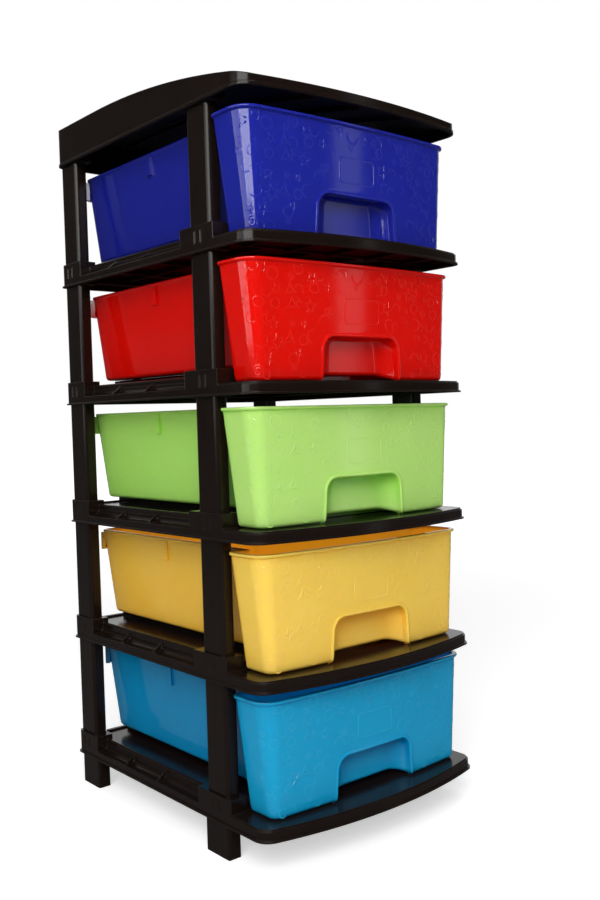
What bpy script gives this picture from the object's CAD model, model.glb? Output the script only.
import math

import bmesh
import bpy
import numpy as np
from mathutils import Matrix, Vector


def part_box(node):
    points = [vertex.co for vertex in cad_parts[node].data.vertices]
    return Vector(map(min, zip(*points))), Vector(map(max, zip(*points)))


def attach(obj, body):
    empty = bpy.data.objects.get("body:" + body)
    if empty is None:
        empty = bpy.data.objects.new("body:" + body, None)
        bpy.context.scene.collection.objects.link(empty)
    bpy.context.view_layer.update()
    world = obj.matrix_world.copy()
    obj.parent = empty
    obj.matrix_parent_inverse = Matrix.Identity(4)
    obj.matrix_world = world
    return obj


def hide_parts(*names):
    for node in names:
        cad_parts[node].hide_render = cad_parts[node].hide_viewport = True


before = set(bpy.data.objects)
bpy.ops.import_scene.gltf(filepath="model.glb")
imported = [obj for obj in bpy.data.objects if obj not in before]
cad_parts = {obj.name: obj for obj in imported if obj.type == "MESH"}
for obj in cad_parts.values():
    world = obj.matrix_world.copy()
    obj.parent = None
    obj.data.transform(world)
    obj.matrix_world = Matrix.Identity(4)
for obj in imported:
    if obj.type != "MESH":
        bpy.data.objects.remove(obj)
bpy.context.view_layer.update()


# The viewpoint. A normal lens a good metre away in front of the tower's left
# corner, a little above its middle, looking down by a degree or two and tilted
# by as much.
camera_place = Vector((-0.6883, -0.8912, 0.4330))
swing, lift, tilt = math.radians(-39.8), math.radians(1.9), math.radians(-1.7)
backward = Vector((math.sin(swing) * math.cos(lift), -math.cos(swing) * math.cos(lift),
                   math.sin(lift)))
level = Vector((math.cos(swing), math.sin(swing), 0))
upright = backward.cross(level)
rightward = level * math.cos(tilt) + upright * math.sin(tilt)
upward = upright * math.cos(tilt) - level * math.sin(tilt)
camera = bpy.data.objects.new("camera", bpy.data.cameras.new("camera"))
bpy.context.scene.collection.objects.link(camera)
camera.data.lens = 39.14
camera.data.sensor_width = 36
turned = Matrix((rightward, upward, backward)).transposed().to_4x4()
turned.translation = camera_place
camera.matrix_world = turned
bpy.context.scene.camera = camera
bpy.context.scene.view_settings.view_transform = "Standard"


# The studio lamps. A tall strip on the right draws the upright streak on the
# drawer fronts, two broad softboxes on the left show in the gloss alone, and a
# large one at the left front corner and a weak one overhead give the light.
def softbox(name, place, aim, width, height, watts, mirrored=True, lighting=True):
    """Area lamp that faces aim; it may be left out of the gloss or of the light."""
    lamp = bpy.data.lights.new(name, "AREA")
    lamp.shape = "RECTANGLE"
    lamp.size = width
    lamp.size_y = height
    lamp.energy = watts
    stand = bpy.data.objects.new(name, lamp)
    bpy.context.scene.collection.objects.link(stand)
    facing = (Vector(aim) - Vector(place)).to_track_quat("-Z", "Y")
    stand.matrix_world = Matrix.Translation(place) @ facing.to_matrix().to_4x4()
    stand.visible_glossy = mirrored
    stand.visible_diffuse = lighting


softbox("strip_softbox", (1.45, -1.82, 0.65), (0, 0, 0.45), 0.2, 1.9, 0.85)
softbox("side_softbox", (-2.33, 0.57, 0.95), (0, 0, 0.6), 2.6, 1.1, 19, lighting=False)
softbox("corner_softbox", (-2.0, -1.5, 1.34), (0, 0, 0.7), 2.6, 0.9, 50, lighting=False)
softbox("front_softbox", (-1.62, -1.66, 1.7), (0, 0, 0.35), 1.5, 1.5, 68, mirrored=False)
softbox("overhead_softbox", (0, -0.4, 3.0), (0, 0, 0.3), 1.6, 1.6, 18)


# The room. It is white to the eye all round, lights the tower weakly, and in
# the gloss it is white behind the tower and dark on the lamps' side.
def fed(node, tree, **inputs):
    """Feeds a node's inputs, each with a plain value or with another socket."""
    for label, value in inputs.items():
        socket = node.inputs[label.replace("_", " ")]
        if isinstance(value, bpy.types.NodeSocket):
            tree.links.new(value, socket)
        else:
            socket.default_value = value
    return node


def worked(tree, operation, first, second):
    """One Math node; its operands are numbers or sockets."""
    node = tree.nodes.new("ShaderNodeMath")
    node.operation = operation
    for socket, value in zip(node.inputs, (first, second)):
        if isinstance(value, bpy.types.NodeSocket):
            tree.links.new(value, socket)
        else:
            socket.default_value = value
    return node.outputs[0]


def ranged(tree, value, low, high, start=0.0, end=1.0, curve="LINEAR"):
    """Number that runs from low to high while value runs from start to end."""
    node = tree.nodes.new("ShaderNodeMapRange")
    node.interpolation_type = curve
    fed(node, tree, Value=value, From_Min=start, From_Max=end, To_Min=low, To_Max=high)
    return node.outputs["Result"]


def blended(tree, share, low, high, kind="RGBA"):
    """Colour, or with kind FLOAT number, that runs from low to high with share."""
    node = tree.nodes.new("ShaderNodeMix")
    node.data_type = kind
    return fed(node, tree, Factor=share, A=low, B=high).outputs["Result"]


def measured(tree, operation, vector, other=None):
    """One Vector Math node on a vector socket and, if given, another vector."""
    node = tree.nodes.new("ShaderNodeVectorMath")
    node.operation = operation
    tree.links.new(vector, node.inputs[0])
    if isinstance(other, tuple):
        node.inputs[1].default_value = other
    elif other is not None:
        tree.links.new(other, node.inputs[1])
    return node.outputs["Vector" if operation == "NORMALIZE" else "Value"]


behind_tower = (0.64, 0.77, 0.0)


def towards_backdrop(tree, heading, low, high):
    """Number that rises from low to high as heading turns to behind the tower."""
    agreement = measured(tree, "DOT_PRODUCT", heading, behind_tower)
    return ranged(tree, agreement, low, high, start=0.35, end=1.0, curve="SMOOTHSTEP")


room = bpy.data.worlds.new("room")
bpy.context.scene.world = room
room.use_nodes = True
tree = room.node_tree
tree.nodes.clear()
heading = tree.nodes.new("ShaderNodeTexCoord").outputs["Generated"]
ray = tree.nodes.new("ShaderNodeLightPath").outputs
in_gloss = worked(tree, "MAXIMUM", ray["Is Glossy Ray"], ray["Is Transmission Ray"])
unseen = blended(tree, in_gloss, 0.25, towards_backdrop(tree, heading, 0.05, 1.0), "FLOAT")
strength = blended(tree, ray["Is Camera Ray"], unseen, 1.0, "FLOAT")
backdrop = fed(tree.nodes.new("ShaderNodeBackground"), tree, Color=(1, 1, 1, 1),
               Strength=strength)
fed(tree.nodes.new("ShaderNodeOutputWorld"), tree, Surface=backdrop.outputs[0])


# The floor: pale seamless paper. It takes the tower's soft shadow and fades
# into the white backdrop away from the tower. In the gloss it is dark, so that
# the undersides of the frame stay black.
def noise(tree, scale, detail=2.0, roughness=0.5):
    """Noise on Object coordinates; its scale is a number or a socket."""
    place = tree.nodes.new("ShaderNodeTexCoord").outputs["Object"]
    node = fed(tree.nodes.new("ShaderNodeTexNoise"), tree, Vector=place, Scale=scale,
               Detail=detail, Roughness=roughness)
    return node.outputs["Fac"]


sheet_end = 30
sheet_corners = [(x * sheet_end, y * sheet_end, 0)
                 for x, y in ((-1, -1), (1, -1), (1, 1), (-1, 1))]
paper = bpy.data.meshes.new("floor")
paper.from_pydata(sheet_corners, [], [(0, 1, 2, 3)])
floor = bpy.data.objects.new("floor", paper)
bpy.context.scene.collection.objects.link(floor)
paper_finish = bpy.data.materials.new("seamless_paper")
paper_finish.use_nodes = True
tree = paper_finish.node_tree
surface = tree.nodes["Principled BSDF"].inputs
surface["Roughness"].default_value = 0.9
surface["Specular IOR Level"].default_value = 0.1
surface["Emission Color"].default_value = (1, 1, 1, 1)
place = tree.nodes.new("ShaderNodeTexCoord").outputs["Object"]
ray = tree.nodes.new("ShaderNodeLightPath").outputs
tone = ranged(tree, noise(tree, 40), 0.74, 0.78)
fade = ranged(tree, measured(tree, "LENGTH", place), 0.53, 1.0, start=0.5, end=4.0,
              curve="SMOOTHSTEP")
bright_in_gloss = worked(tree, "MULTIPLY", ray["Is Glossy Ray"],
                         towards_backdrop(tree, measured(tree, "NORMALIZE", place), 0.05, 0.14))
dark_in_gloss = worked(tree, "SUBTRACT", ray["Is Glossy Ray"], bright_in_gloss)
tree.links.new(blended(tree, dark_in_gloss, tone, 0.12, "FLOAT"), surface["Base Color"])
seen = worked(tree, "MAXIMUM", ray["Is Camera Ray"], bright_in_gloss)
seen = worked(tree, "MAXIMUM", seen, ray["Is Transmission Ray"])
tree.links.new(worked(tree, "MULTIPLY", seen, fade), surface["Emission Strength"])
paper.materials.append(paper_finish)


# The frame: cover, five shelves, twenty hollow posts and four feet, moulded in
# a glossy black plastic with a warm cast. They plug into each other's collars.
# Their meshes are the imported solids, and only the finish is made here.
def colour(red, green, blue):
    """Linear colour of a finish that is written as 0 to 255."""
    def linear(value):
        value /= 255
        return value / 12.92 if value <= 0.04045 else ((value + 0.055) / 1.055) ** 2.4
    return (linear(red), linear(green), linear(blue), 1)


def effect(name, settings, results):
    """Empty shader node group: the group, its given sockets, its result sockets."""
    group = bpy.data.node_groups.new(name, "ShaderNodeTree")
    for label, value in settings.items():
        socket = group.interface.new_socket(label, in_out="INPUT", socket_type="NodeSocketFloat")
        socket.default_value = value
    for label in results:
        group.interface.new_socket(label, in_out="OUTPUT", socket_type="NodeSocketFloat")
    return (group, group.nodes.new("NodeGroupInput").outputs,
            group.nodes.new("NodeGroupOutput").inputs)


def placed(tree, group, **values):
    """Puts an effect into a material with this finish's own values."""
    node = tree.nodes.new("ShaderNodeGroup")
    node.node_tree = group
    return fed(node, tree, **values).outputs


# Moulded face: Height is a fine grain over slow flow marks, Patches a slow
# variation for colour and gloss.
moulded_face, given, result = effect(
    "moulded_face", {"Grain Scale": 900, "Flow Scale": 14, "Flow Share": 0.8},
    ["Height", "Patches"])
flow = noise(moulded_face, given["Flow Scale"], detail=3, roughness=0.55)
flowing = worked(moulded_face, "MULTIPLY", flow, given["Flow Share"])
grainy = worked(moulded_face, "MULTIPLY", noise(moulded_face, given["Grain Scale"]),
                worked(moulded_face, "SUBTRACT", 1.0, given["Flow Share"]))
moulded_face.links.new(worked(moulded_face, "ADD", flowing, grainy), result["Height"])
moulded_face.links.new(flow, result["Patches"])

# Rubbed edges: Edge is 1 within Width of an outer or inner edge, broken up a
# little so that it reads as handling and not as an outline.
rubbed_edges, given, result = effect("rubbed_edges", {"Width": 0.0012, "Break Up": 60}, ["Edge"])
edge_gain, least_wear = 6.0, 0.35
rounded = rubbed_edges.nodes.new("ShaderNodeBevel")
rounded.samples = 4
rubbed_edges.links.new(given["Width"], rounded.inputs["Radius"])
unrounded = rubbed_edges.nodes.new("ShaderNodeNewGeometry").outputs["Normal"]
agreement = measured(rubbed_edges, "DOT_PRODUCT", rounded.outputs["Normal"], unrounded)
bend = worked(rubbed_edges, "MULTIPLY", worked(rubbed_edges, "SUBTRACT", 1.0, agreement),
              edge_gain)
broken = worked(rubbed_edges, "MULTIPLY", bend,
                worked(rubbed_edges, "ADD", noise(rubbed_edges, given["Break Up"], detail=3),
                       least_wear))
rubbed_edges.links.new(worked(rubbed_edges, "MINIMUM", broken, 1.0), result["Edge"])


def pointing_up(tree):
    """The Z of the face's normal: 1 on top, -1 underneath."""
    split = tree.nodes.new("ShaderNodeSeparateXYZ")
    tree.links.new(tree.nodes.new("ShaderNodeNewGeometry").outputs["Normal"], split.inputs[0])
    return split.outputs["Z"]


# Settled dust: Dust is highest on faces that look up, in soft patches.
settled_dust, given, result = effect("settled_dust", {"Patch Scale": 9, "Speck Scale": 700},
                                     ["Dust"])
specks = worked(settled_dust, "POWER", noise(settled_dust, given["Speck Scale"]), 3.0)
dusting = worked(settled_dust, "MULTIPLY", noise(settled_dust, given["Patch Scale"]), specks)
looking_up = worked(settled_dust, "MAXIMUM", pointing_up(settled_dust), 0.0)
settled_dust.links.new(worked(settled_dust, "MULTIPLY", looking_up, dusting), result["Dust"])

# The finish itself: it goes grey along worn edges, and the undersides are dull.
frame_black = bpy.data.materials.new("frame_black")
frame_black.use_nodes = True
tree = frame_black.node_tree
surface = tree.nodes["Principled BSDF"].inputs
surface["IOR"].default_value = 1.55
surface["Specular IOR Level"].default_value = 0.2
face = placed(tree, moulded_face, Grain_Scale=700, Flow_Scale=16, Flow_Share=0.75)
edges = placed(tree, rubbed_edges, Width=0.0007, Break_Up=70)
dust = placed(tree, settled_dust, Patch_Scale=8, Speck_Scale=650)
body = blended(tree, face["Patches"], colour(16, 10, 7), colour(26, 17, 13))
worn = blended(tree, worked(tree, "MULTIPLY", edges["Edge"], 0.3), body, colour(70, 62, 56))
dusty = blended(tree, worked(tree, "MULTIPLY", dust["Dust"], 0.08), worn, colour(150, 145, 138))
tree.links.new(dusty, surface["Base Color"])
polished = ranged(tree, face["Patches"], 0.13, 0.22)
underneath = ranged(tree, pointing_up(tree), 0.0, 0.8, start=-0.4, end=-0.8)
tree.links.new(worked(tree, "MAXIMUM", polished, underneath), surface["Roughness"])
soft_edge = tree.nodes.new("ShaderNodeBevel")
soft_edge.samples = 4
soft_edge.inputs["Radius"].default_value = 0.0016
relief = fed(tree.nodes.new("ShaderNodeBump"), tree, Strength=0.12, Distance=0.0006,
             Height=face["Height"], Normal=soft_edge.outputs["Normal"])
tree.links.new(relief.outputs["Normal"], surface["Normal"])

for name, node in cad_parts.items():
    if not name.startswith("drawer"):
        for entry in node.material_slots:
            entry.material = frame_black


# The five drawers: each is one thin-walled moulding in tinted polypropylene, a
# wide bowed front with a finger recess, a narrower tub behind it and a rolled
# rim. Walls are drafted to leave the mould. Drawers slide on the shelf's runners.

# Sizes in millimetres. The draft starts at the floors of the front and the tub
# and ends at the rim; each size is its value at the floor and what it gains.
front_floor, tub_floor, draft_end = 12.0, 28.0, 125.0
front_half = (129.5, 9.5)
front_rear = (-123.0, 7.0)
face_end = (-162.0, -2.0)
face_bow = 6.5
front_corner = (11.0, 7.0)
rear_corner, least_corner = 4.8, 1.2
tub_side = (108.5, 9.5)
tub_rear = (172.5, 6.5)
tub_corner = 10.0
wall = 2.2
field_half, field_top = 66.0, 66.0
rim_foot, rim_top = 124.3, 128.5
# the recess seen from the front: half widths at its foot and top, height, corner
recess_foot, least_recess_corner = 2.0, 5.0
recess_shape = np.array([53.5, 50.5, 56.0, 13.0])
recess_back, recess_depth, recess_narrowing, recess_edge = -152.5, 14.0, 20.5, 4.0
roll_angles = np.radians([30, 60, 90])


def drafted(size, z, draft_start):
    """A size at height z on a wall whose draft starts at that height."""
    at_start, gain = size
    return at_start + gain * (min(z, draft_end) - draft_start) / (draft_end - draft_start)


def face_circle(z, inset):
    """Radius of the bowed face at height z, and the Y of its centre."""
    half = drafted(front_half, z, front_floor)
    radius = (half ** 2 + face_bow ** 2) / (2 * face_bow) - inset
    return radius, drafted(face_end, z, front_floor) - face_bow + radius + inset


def front_face_y(x, z, inset):
    """Where the bowed face stands at x and height z."""
    radius, centre = face_circle(z, inset)
    return centre - math.sqrt(radius ** 2 - x ** 2)


def curved(x, y, radius, start, end, count):
    """Points on a circle round (x, y), from one angle in degrees to the other."""
    return [(x + radius * math.cos(a), y + radius * math.sin(a))
            for a in np.radians(np.linspace(start, end, count))]


def straight(start, end, count):
    """Points in count equal steps from start, without end."""
    return [tuple(point) for point in np.linspace(start, end, count, endpoint=False)]


def flipped(line):
    """The line's mirror image in the drawer's middle, run the other way."""
    return [(-x, y) for x, y in reversed(line)]


def front_outline(z, inset, rear_stop=None):
    """Left half of the front's plan at height z: from the tub round the rear
    and front corners to the edge of the middle field, then the middle field."""
    wide = drafted(front_half, z, front_floor) - inset
    rear = drafted(front_rear, z, front_floor) - inset
    if rear_stop is not None:
        rear = min(rear, rear_stop)
    arc, arc_y = face_circle(z, inset)
    front_r = drafted(front_corner, z, front_floor) - inset
    rear_r = max(rear_corner - inset, least_corner)
    corner_x = wide - front_r
    corner_y = arc_y - math.sqrt((arc - front_r) ** 2 - corner_x ** 2)
    touch_x = corner_x * arc / (arc - front_r)
    touch_angle = 360 + math.degrees(math.atan2(corner_y - arc_y, -corner_x))
    tub_x = drafted(tub_side, z, tub_floor) - inset * (0.5 if inset < 0 else 1)
    left = straight((-tub_x, rear), (rear_r - wide, rear), 3)
    left += curved(rear_r - wide, rear - rear_r, rear_r, 90, 180, 5)
    left += straight((-wide, rear - rear_r), (-wide, corner_y), 6)[1:]
    left += curved(-corner_x, corner_y, front_r, 180, touch_angle, 13)
    left += [(x, front_face_y(x, z, inset)) for x in np.linspace(-touch_x, -field_half, 7)[1:]]
    middle = np.linspace(-field_half, field_half, 29)[1:-1]
    return left, [(x, front_face_y(x, z, inset)) for x in middle]


def tub_outline(z, inset):
    """The tub's plan from behind the right end of the front round the rear,
    back to the left end."""
    half = drafted(tub_side, z, tub_floor) - inset
    rear = drafted(tub_rear, z, tub_floor) - inset
    front = drafted(front_rear, z, front_floor)
    r = tub_corner - inset
    side = straight((half, front), (half, rear - r), 10)[1:]
    side += curved(half - r, rear - r, r, 0, 90, 9)
    return (side + [(x, rear) for x in np.linspace(half - r, r - half, 9)[1:-1]]
            + flipped(side))


def lengths_along(line):
    """How far along the line each of its points lies."""
    return np.concatenate([[0], np.cumsum(np.hypot(*np.diff(line, axis=0).T))])


def shared_out(line, shares):
    """Points at the given shares of the line's length."""
    line = np.array(line)
    along = lengths_along(line)
    return [tuple(np.interp(share * along[-1], along, line[:, k]) for k in (0, 1))
            for share in shares]


def recess_line(low, half_low, half_top, top, r, up, over):
    """The recess seen from the front: up its left side, over the top and down
    the right, at the given shares of the side and of the top."""
    r = max(r, least_recess_corner)
    slope = (half_low - half_top) / (top - r - recess_foot)
    side = [(slope * (low - recess_foot) - half_low, low), (-half_top, top - r)]
    side += curved(r - half_top, top - r, r, 180, 135, 9)[1:]
    ridge = curved(r - half_top, top - r, r, 135, 90, 9)
    climb = shared_out(side, up)
    return climb + shared_out(ridge + flipped(ridge), over)[1:-1] + flipped(climb)


def inward(loop, distance):
    """A closed plan, run anticlockwise, moved inwards with mitred corners."""
    plan = np.array(loop)
    ahead = np.roll(plan, -1, 0) - plan
    ahead /= np.maximum(np.linalg.norm(ahead, axis=1), 1e-9)[:, None]
    normal = np.stack([-ahead[:, 1], ahead[:, 0]], 1)
    both = normal + np.roll(normal, 1, 0)
    return plan + both * (distance / np.maximum((both * normal).sum(1), 0.4))[:, None]


drawer_points, drawer_faces = [], []


def points_at(plan, heights):
    """Adds a plan's points at one height or at one each, and gives their row."""
    first = len(drawer_points)
    if isinstance(heights, (int, float)):
        heights = [heights] * len(plan)
    drawer_points.extend((p[0], p[1], z) for p, z in zip(plan, heights))
    return list(range(first, len(drawer_points)))


def bridge(row, following, closed=False):
    """Faces between two rows of points; closed rows meet their own start."""
    if closed:
        row, following = row + row[:1], following + following[:1]
    for i in range(len(row) - 1):
        drawer_faces.append((row[i], row[i + 1], following[i + 1], following[i]))


def drawer_skin(inset, low, tub_low, roll, grow, edge_rings, back_rise):
    """One side of the wall from its floor up to the middle field's top: gives
    the ring of points there and the front's lowest ring, its foot."""
    lower = list(np.linspace(low + roll, tub_low + roll, 4))
    heights = lower + list(np.linspace(tub_low + roll, field_top, 6))[1:]
    tub_start = len(lower) - 1
    lefts, rights, rounds = [], [], []
    for level, z in enumerate(heights):
        left, _ = front_outline(z, inset)
        lefts.append(points_at(left, z))
        rights.append(points_at(flipped(left), z))
        tub = points_at(tub_outline(z, inset), z) if level >= tub_start else []
        rounds.append([rights[-1][-1]] + tub + [lefts[-1][0]])
    for level in range(len(heights) - 1):
        bridge(lefts[level], lefts[level + 1])
        bridge(rights[level], rights[level + 1])
        if level >= tub_start:
            bridge(rounds[level], rounds[level + 1])
    centre = points_at(front_outline(field_top, inset)[1], field_top)
    top_ring = lefts[-1] + centre + rights[-1] + rounds[-1][1:-1]

    # the field round the recess, then the recess itself
    up = [(z - heights[0]) / (field_top - heights[0]) for z in heights]
    over = np.linspace(0, 1, len(centre) + 2)
    field = [row[-1] for row in lefts] + centre + [row[0] for row in reversed(rights)]
    low_left, low_right = [], []
    for out_by, proud in edge_rings:
        line = recess_line(low + roll, *(recess_shape + grow + out_by), up, over)
        ring = points_at([(x, front_face_y(x, z, inset) - proud) for x, z in line],
                         [z for _, z in line])
        bridge(field, ring)
        field = ring
        low_left.append(ring[0])
        low_right.append(ring[-1])
    back, depth = recess_back + grow, recess_depth + grow
    for a in np.radians(np.linspace(12, 90, 7)):
        y = back - depth + depth * math.sin(a)
        narrow = (recess_narrowing + grow) * (1 - math.cos(a))
        near = max(0.0, y - back + recess_edge)
        drop = recess_edge - math.sqrt(max(recess_edge ** 2 - near ** 2, 0.0))
        share = a / (math.pi / 2)
        raised = back_rise * (3 * share ** 2 - 2 * share ** 3)
        shape = recess_shape + grow - np.array([narrow, narrow, drop, 0.5 * narrow])
        line = recess_line(low + roll + raised, *shape, up, over)
        ring = points_at([(x, y) for x, _ in line], [z for _, z in line])
        bridge(field, ring)
        field = ring
        low_left.append(ring[0])
        low_right.append(ring[-1])
    drawer_faces.append(tuple(field))

    # underside of the tub, and the step between it and the front's floor
    ring = rounds[tub_start]
    step_left, step_right = [], []
    for a in roll_angles:
        z = tub_low + roll * (1 - math.sin(a))
        base = tub_outline(tub_low + roll, inset + roll * (1 - math.cos(a)))
        y = front_outline(z, inset)[0][0][1]
        half = base[0][0]
        following = points_at([(half, y)] + base + [(-half, y)], z)
        bridge(ring, following)
        ring = following
        step_left.append(ring[-1])
        step_right.append(ring[0])
    drawer_faces.append(tuple(ring))
    step_face = [row[0] for row in lefts[:tub_start + 1]] + step_left
    step_face += step_right[::-1] + [row[-1] for row in reversed(rights[:tub_start + 1])]
    drawer_faces.append(tuple(step_face))
    return top_ring, lefts[0] + low_left + low_right[::-1] + rights[0]


def drawer_wall(ring, profile):
    """Carries a closed ring through rows of height, inset of the front, inset
    of the tub, and the furthest forward that the front's rear may stand."""
    for z, inset, tub_inset, rear_stop in profile:
        left, middle = front_outline(z, inset, rear_stop)
        left[0] = (tub_inset - drafted(tub_side, z, tub_floor), left[0][1])
        following = points_at(left + middle + flipped(left) + tub_outline(z, tub_inset), z)
        bridge(ring, following, closed=True)
        ring = following
    return ring


def drawer_floor(foot, roll, steps):
    """Rolls the lower edge under, then runs on through (inset, height)."""
    plan = [drawer_points[i][:2] for i in foot]
    levels = [drawer_points[i][2] for i in foot]
    ring = foot
    for a in roll_angles:
        following = points_at(inward(plan, roll * (1 - math.cos(a))),
                              [z - roll * math.sin(a) for z in levels])
        bridge(ring, following, closed=True)
        ring = following
    for inset, height in steps:
        following = points_at(inward(plan, inset),
                              [z - roll for z in levels] if height is None else height)
        bridge(ring, following, closed=True)
        ring = following
    drawer_faces.append(tuple(ring))


outer_top, outer_foot = drawer_skin(
    inset=0.0, low=12.6, tub_low=tub_floor, roll=4.5, grow=0.0, back_rise=5.5,
    edge_rings=[(7, 0), (4.4, 0), (3.7, 0.35), (2.9, 1.0), (2.0, 1.3), (1.1, 1.1), (0.4, 0.4),
                (0, -0.6)])
before = len(drawer_points)
inner_top, inner_foot = drawer_skin(
    inset=wall, low=19.7, tub_low=tub_floor + wall, roll=1.0, grow=wall, back_rise=0.0,
    edge_rings=[(5, 0), (1.0, 0), (0.3, -0.3), (0, -1.0)])
inner_points = set(range(before, len(drawer_points)))
outside = [(z, 0.0, 0.0, None) for z in np.linspace(field_top, rim_foot, 7)[1:]]
rolled_rim = [
    (124.7, -0.3, -0.2, -114.7), (125.1, -0.9, -0.5, -114.7), (125.4, -1.7, -0.9, -114.7),
    (125.8, -2.5, -1.3, -114.7), (126.4, -2.95, -1.5, -114.7), (127.6, -3.0, -1.5, -114.7),
    (128.2, -2.75, -1.3, -114.8), (rim_top, -2.0, -0.8, -115.0), (rim_top, -0.2, 0.4, None),
    (rim_top, 1.5, 1.5, None), (128.3, 2.0, 2.0, None), (127.9, wall, wall, None)]
inside = [(z, wall, wall, None) for z in np.linspace(rim_foot, field_top, 7)[:-1]]
rim_ring = drawer_wall(outer_top, outside + rolled_rim)
before = len(drawer_points)
inside_ring = drawer_wall(rim_ring, inside)
inner_points.update(range(before, len(drawer_points)))
bridge(inside_ring, inner_top, closed=True)
drawer_floor(outer_foot, 4.5, [(6.0, None), (6.2, 18.0)])
before = len(drawer_points)
drawer_floor(inner_foot, 1.0, [])
inner_points.update(range(before, len(drawer_points)))


# The band round the rear of the rim and the stop rib on each side of the tub,
# moulded on with it.
def swept(plan, profile):
    """Closed shell: a section of (outwards, height) along an open plan."""
    path = np.array(plan)
    ahead = np.gradient(path, axis=0)
    ahead /= np.linalg.norm(ahead, axis=1)[:, None]
    side = np.stack([ahead[:, 1], -ahead[:, 0]], 1)
    rows = [points_at(path + side * out_by, z) for out_by, z in profile]
    for row, following in zip(rows, rows[1:] + rows[:1]):
        bridge(row, following)
    drawer_faces.append(tuple(row[0] for row in rows))
    drawer_faces.append(tuple(row[-1] for row in rows))


band_start = 171.0
swept([point for point in tub_outline(draft_end, 0.0) if point[1] > band_start],
      [(-1.0, 104.5), (3.6, 104.5), (4.3, 104.8), (4.5, 105.6), (4.5, 124.4), (4.2, 125.1),
       (-1.0, 125.3)])
rib_heights, rib_ends, rib_side, rib_bite = (104.8, 125.2), (30.0, 38.0), 119.6, 1.0
box_faces = ((0, 1, 3, 2), (4, 5, 7, 6), (0, 1, 5, 4), (2, 3, 7, 6), (0, 2, 6, 4), (1, 3, 7, 5))
for side in (-1, 1):
    first = len(drawer_points)
    for z in rib_heights:
        wall_x = tub_side[0] + tub_side[1] * (z - tub_floor) / (draft_end - tub_floor)
        for x in (wall_x - rib_bite, rib_side):
            drawer_points.extend((side * x, y, z) for y in rib_ends)
    drawer_faces.extend(tuple(first + corner for corner in face) for face in box_faces)


# The motifs on the fronts: small rings, stars, spirals and arcs, engraved in
# the mould so that they stand up from the plastic by a quarter of a millimetre.
# Geometry nodes scatter them flat, and they are then wrapped round the front.
motifs = bpy.data.node_groups.new("front_motifs", "GeometryNodeTree")
motifs.interface.new_socket("Geometry", in_out="INPUT", socket_type="NodeSocketGeometry")
for label, value in (("Field Width", 0.33), ("Field Height", 0.094), ("Motif Size", 0.0118),
                     ("Line Width", 0.0021), ("Line Height", 0.00028), ("Jitter", 0.0048)):
    socket = motifs.interface.new_socket(label, in_out="INPUT", socket_type="NodeSocketFloat")
    socket.default_value = value
for label, value in (("Columns", 24), ("Rows", 7), ("Seed", 11)):
    socket = motifs.interface.new_socket(label, in_out="INPUT", socket_type="NodeSocketInt")
    socket.default_value = value
motifs.interface.new_socket("Finish", in_out="INPUT", socket_type="NodeSocketMaterial")
motifs.interface.new_socket("Geometry", in_out="OUTPUT", socket_type="NodeSocketGeometry")
given = motifs.nodes.new("NodeGroupInput").outputs


def motif_node(kind, **inputs):
    """Adds a node of that kind to the motifs' tree and feeds its inputs."""
    return fed(motifs.nodes.new(kind), motifs, **inputs)


def drawn(kind, low, high, seed):
    """Random value between low and high."""
    node = motifs.nodes.new("FunctionNodeRandomValue")
    node.data_type = kind
    return fed(node, motifs, Min=low, Max=high, Seed=seed).outputs["Value"]


raster = motif_node("GeometryNodeMeshGrid", Size_X=given["Field Width"],
                    Size_Y=given["Field Height"], Vertices_X=given["Columns"],
                    Vertices_Y=given["Rows"])
wander = motifs.nodes.new("ShaderNodeVectorMath")
wander.operation = "SCALE"
motifs.links.new(drawn("FLOAT_VECTOR", (-1, -1, 0), (1, 1, 0), given["Seed"]), wander.inputs[0])
motifs.links.new(given["Jitter"], wander.inputs["Scale"])
strewn = motif_node("GeometryNodeSetPosition", Geometry=raster.outputs["Mesh"],
                    Offset=wander.outputs["Vector"])
half_size = worked(motifs, "MULTIPLY", given["Motif Size"], 0.5)


def of_half(share):
    """A share of half a motif's size."""
    return worked(motifs, "MULTIPLY", half_size, share)


circle = motif_node("GeometryNodeCurvePrimitiveCircle", Resolution=18, Radius=half_size)
star = motif_node("GeometryNodeCurveStar", Points=5, Inner_Radius=of_half(0.5),
                  Outer_Radius=of_half(1.15))
snail = motif_node("GeometryNodeCurveSpiral", Resolution=14, Rotations=1.8, Height=0.0,
                   Start_Radius=of_half(0.2), End_Radius=half_size)
hook = motif_node("GeometryNodeCurveArc", Resolution=9, Radius=half_size, Sweep_Angle=3.4)
leaf = motif_node("GeometryNodeCurveStar", Points=3, Inner_Radius=of_half(0.35),
                  Outer_Radius=of_half(1.2))
half_line = worked(motifs, "MULTIPLY", given["Line Width"], 0.5)
bead = motif_node("GeometryNodeCurvePrimitiveCircle", Resolution=6, Radius=half_line)
shapes = motifs.nodes.new("GeometryNodeJoinGeometry")
kinds = (circle, star, snail, hook, leaf)
for kind in kinds:
    line = motif_node("GeometryNodeCurveToMesh", Curve=kind.outputs["Curve"],
                      Profile_Curve=bead.outputs["Curve"], Fill_Caps=True)
    whole = motif_node("GeometryNodeGeometryToInstance", Geometry=line.outputs["Mesh"])
    motifs.links.new(whole.outputs["Instances"], shapes.inputs["Geometry"])
which = drawn("INT", 0, len(kinds) - 1, given["Seed"])
heading = drawn("FLOAT_VECTOR", (0, 0, -3.1), (0, 0, 3.1),
                worked(motifs, "ADD", given["Seed"], 3))
size = drawn("FLOAT", 0.5, 1.2, worked(motifs, "ADD", given["Seed"], 5))
stamped = motif_node("GeometryNodeInstanceOnPoints", Points=strewn.outputs["Geometry"],
                     Instance=shapes.outputs["Geometry"], Pick_Instance=True,
                     Instance_Index=which, Rotation=heading, Scale=size)
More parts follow.
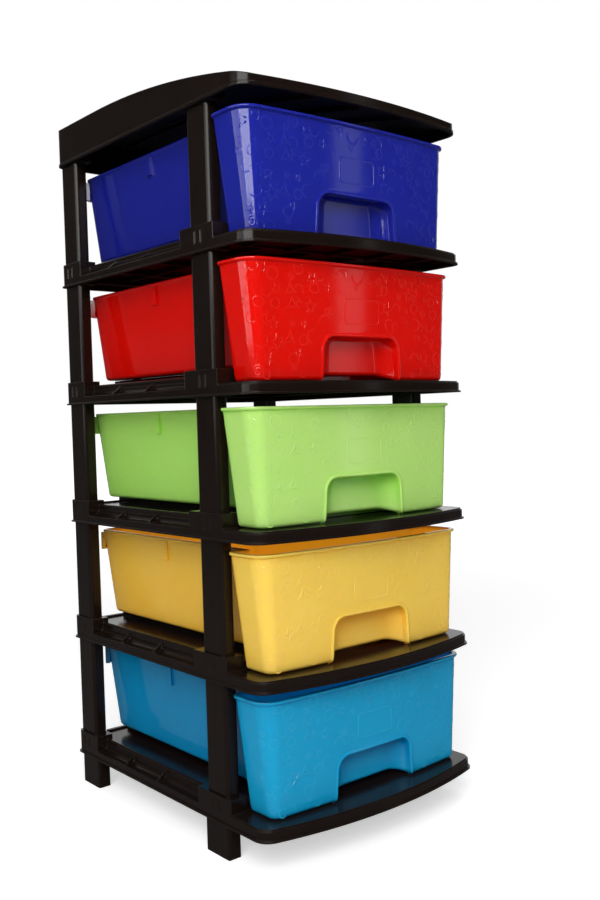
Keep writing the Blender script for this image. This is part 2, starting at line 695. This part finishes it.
real = motif_node("GeometryNodeRealizeInstances", Geometry=stamped.outputs["Instances"])
round_lines = motif_node("ShaderNodeSeparateXYZ", Vector=motifs.nodes.new(
    "GeometryNodeInputPosition").outputs["Position"])
flatter = worked(motifs, "DIVIDE", given["Line Height"], half_line)
flat_lines = motif_node("ShaderNodeCombineXYZ", X=round_lines.outputs["X"],
                        Y=round_lines.outputs["Y"],
                        Z=worked(motifs, "MULTIPLY", round_lines.outputs["Z"], flatter))
pressed = motif_node("GeometryNodeSetPosition", Geometry=real.outputs["Geometry"],
                     Position=flat_lines.outputs["Vector"])
coated = motif_node("GeometryNodeSetMaterial", Geometry=pressed.outputs["Geometry"],
                    Material=given["Finish"])
motifs.links.new(coated.outputs["Geometry"],
                 motifs.nodes.new("NodeGroupOutput").inputs["Geometry"])
blank = bpy.data.objects.new("motif_sheet", bpy.data.meshes.new("motif_sheet"))
bpy.context.scene.collection.objects.link(blank)
blank.modifiers.new("motifs", "NODES").node_group = motifs
sheet = bpy.data.meshes.new_from_object(
    blank.evaluated_get(bpy.context.evaluated_depsgraph_get()))
bpy.data.objects.remove(blank)

# wrapping: the flat sheet's X runs along the front from its middle, its Y up
after_rear_corner = 7
wraps = []
for z in (front_floor, draft_end):
    left, middle = front_outline(z, 0.0)
    left = left[after_rear_corner:]
    wraps.append(np.array(left + middle + flipped(left)))
run = lengths_along((wraps[0] + wraps[1]) / 2)
run -= run[-1] / 2
order = np.arange(len(run))


def on_front(along, height, proud):
    """Places (along, height, proud) in millimetres on the drawer front."""
    at = np.interp(along, run, order)
    share = (height - front_floor) / (draft_end - front_floor)
    here, ahead = [
        np.stack([np.interp(at + beside, order, wraps[0][:, k]) * (1 - share)
                  + np.interp(at + beside, order, wraps[1][:, k]) * share for k in (0, 1)], 1)
        for beside in (-0.4, 0.4)]
    tangent = ahead - here
    tangent /= np.linalg.norm(tangent, axis=1)[:, None]
    spot = (here + ahead) / 2 + np.stack([tangent[:, 1], -tangent[:, 0]], 1) * proud[:, None]
    return list(zip(spot[:, 0], spot[:, 1], height))


def islands(mesh):
    """Groups of vertices that hang together."""
    parent = list(range(len(mesh.vertices)))

    def root(i):
        while parent[i] != i:
            parent[i] = parent[parent[i]]
            i = parent[i]
        return i
    for edge in mesh.edges:
        a, b = root(edge.vertices[0]), root(edge.vertices[1])
        parent[a] = b
    groups = {}
    for i in range(len(parent)):
        groups.setdefault(root(i), []).append(i)
    return groups.values()


# a motif is kept where it clears the recess, the label frame and both corners
field_middle = 69.0
clear_of_recess, clear_of_corner = 61, 21
clear_beside_label, clear_below_label = 28, 98
on_sheet = np.array([tuple(v.co) for v in sheet.vertices]) * 1000
on_sheet[:, 1] += field_middle
kept = set()
for group in islands(sheet):
    x, z = on_sheet[group, 0], on_sheet[group, 1]
    on_recess = (z.min() < clear_of_recess and x.max() > -clear_of_recess
                 and x.min() < clear_of_recess)
    on_label = (z.min() < clear_below_label and x.max() > -clear_beside_label
                and x.min() < clear_beside_label)
    on_corner = x.min() <= run[0] + clear_of_corner or x.max() >= run[-1] - clear_of_corner
    if not (on_recess or on_label or on_corner):
        kept.update(group)
chosen = sorted(kept)
renumbered = {old: new for new, old in enumerate(chosen)}
relief_points = on_front(*on_sheet[chosen].T)
relief_faces = [tuple(renumbered[i] for i in face.vertices) for face in sheet.polygons
                if face.vertices[0] in kept]

# raised frame for a paper label above the recess
label_half, label_low, label_high, label_corner = 19.5, 73.5, 90.5, 4
label_line = []
for x, z, start in ((label_half, label_high, 0), (-label_half, label_high, 90),
                    (-label_half, label_low, 180), (label_half, label_low, 270)):
    label_line += [(x, z, math.radians(start + a)) for a in range(0, 91, 15)]
rings = []
for out_by, proud in ((-1.0, -0.2), (-0.6, 0.25), (0, 0.38), (0.6, 0.25), (1.0, -0.2)):
    radius = label_corner + out_by
    xs = np.array([x + radius * math.cos(a) for x, z, a in label_line])
    zs = np.array([z + radius * math.sin(a) for x, z, a in label_line])
    first = len(relief_points)
    relief_points += on_front(xs, zs, np.full(len(xs), proud))
    rings.append(list(range(first, len(relief_points))) + [first])
for ring, following in zip(rings, rings[1:] + rings[:1]):
    for i in range(len(ring) - 1):
        relief_faces.append((ring[i], ring[i + 1], following[i + 1], following[i]))


# The drawers' plastic and pieces: each drawer is a moulding in its own tint
# with its embossing on the front. Tinted plastic looks deeper in a hollow,
# where light reaches the eye through more of it, and its inner walls glow.
hollow_depth, given, result = effect("hollow_depth", {"Reach": 0.03, "Tub Share": 0.6}, ["Open"])
screened = hollow_depth.nodes.new("ShaderNodeAmbientOcclusion")
screened.samples = 8
screened.only_local = True
hollow_depth.links.new(given["Reach"], screened.inputs["Distance"])
free = ranged(hollow_depth, screened.outputs["AO"], 0.0, 1.0, start=0.6, end=0.95)
spot = hollow_depth.nodes.new("ShaderNodeSeparateXYZ")
hollow_depth.links.new(hollow_depth.nodes.new("ShaderNodeTexCoord").outputs["Object"],
                       spot.inputs[0])
behind_front, into_tub = -0.13, -0.105
front_share = ranged(hollow_depth, spot.outputs["Y"], 1.0, given["Tub Share"],
                     start=behind_front, end=into_tub)
hollow_depth.links.new(worked(hollow_depth, "MULTIPLY", free, front_share), result["Open"])


def drawer_plastic(name, body, deep, thick, pale, glow):
    """Glossy tinted polypropylene: body colour, deeper in thick or slow spots,
    paler along its thin edges."""
    plastic = bpy.data.materials.new(name)
    plastic.use_nodes = True
    tree = plastic.node_tree
    surface = tree.nodes["Principled BSDF"].inputs
    surface["IOR"].default_value = 1.49
    surface["Subsurface Weight"].default_value = glow
    surface["Subsurface Radius"].default_value = body[:3]
    surface["Subsurface Scale"].default_value = 0.015
    surface["Emission Strength"].default_value = 0.25
    face = placed(tree, moulded_face, Grain_Scale=800, Flow_Scale=11, Flow_Share=0.85)
    edges = placed(tree, rubbed_edges, Width=0.0010, Break_Up=40)
    dust = placed(tree, settled_dust, Patch_Scale=10, Speck_Scale=600)
    hollow = placed(tree, hollow_depth, Reach=0.035, Tub_Share=0.6)
    tint = blended(tree, hollow["Open"], thick, blended(tree, face["Patches"], deep, body))
    edged = blended(tree, worked(tree, "MULTIPLY", edges["Edge"], 0.15), tint, pale)
    dusty = blended(tree, worked(tree, "MULTIPLY", dust["Dust"], 0.08), edged,
                    colour(190, 186, 180))
    tree.links.new(dusty, surface["Base Color"])
    inner_wall = tree.nodes.new("ShaderNodeAttribute")
    inner_wall.attribute_name = "inner_wall"
    tree.links.new(blended(tree, inner_wall.outputs["Fac"], colour(0, 0, 0), thick),
                   surface["Emission Color"])
    tree.links.new(ranged(tree, face["Patches"], 0.05, 0.10), surface["Roughness"])
    relief = fed(tree.nodes.new("ShaderNodeBump"), tree, Strength=0.10, Distance=0.0008,
                 Height=face["Height"])
    tree.links.new(relief.outputs["Normal"], surface["Normal"])
    return plastic


def finished(name, points, faces, finish, inner):
    """Mesh object in metres from points in millimetres, with smooth shading."""
    mesh = bpy.data.meshes.new(name)
    mesh.from_pydata([(x / 1000, y / 1000, z / 1000) for x, y, z in points], [], faces)
    inner_wall = mesh.attributes.new("inner_wall", "FLOAT", "POINT")
    inner_wall.data.foreach_set("value", [float(i in inner) for i in range(len(points))])
    work = bmesh.new()
    work.from_mesh(mesh)
    bmesh.ops.remove_doubles(work, verts=work.verts, dist=1e-6)
    bmesh.ops.recalc_face_normals(work, faces=work.faces)
    work.to_mesh(mesh)
    work.free()
    mesh.shade_smooth()
    mesh.set_sharp_from_angle(angle=math.radians(35))
    mesh.materials.append(finish)
    piece = bpy.data.objects.new(name, mesh)
    bpy.context.scene.collection.objects.link(piece)
    piece.modifiers.new("even_shading", "WEIGHTED_NORMAL").keep_sharp = True
    return piece


# body, deep, thick and pale colour of each drawer's plastic
drawer_tints = {
    "drawer_1_blue": ((28, 38, 150), (23, 31, 134), (24, 29, 128), (70, 80, 190)),
    "drawer_2_red": ((222, 17, 7), (206, 12, 5), (208, 9, 3), (236, 70, 50)),
    "drawer_3_green": ((182, 224, 124), (166, 214, 106), (140, 212, 62), (205, 238, 165)),
    "drawer_4_yellow": ((246, 207, 96), (236, 188, 72), (250, 176, 40), (246, 224, 140)),
    "drawer_5_sky": ((24, 156, 202), (14, 142, 188), (0, 104, 164), (110, 200, 230)),
}
for name, tints in drawer_tints.items():
    low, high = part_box(name)
    slot = "drawer_" + name.split("_")[2]
    sideways = (low[0] + high[0]) / 2 * 1000
    bottom = high[2] * 1000 - rim_top
    for part, points, faces, inner, glow in (
            ("moulding", drawer_points, drawer_faces, inner_points, 0.35),
            ("embossing", relief_points, relief_faces, (), 0.0)):
        plastic = drawer_plastic(slot + "_" + part, *(colour(*tint) for tint in tints), glow)
        piece = finished(name + "_" + part, [(x + sideways, y, z + bottom) for x, y, z in points],
                         faces, plastic, inner)
        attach(piece, name)
        if part == "moulding":
            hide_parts(name)
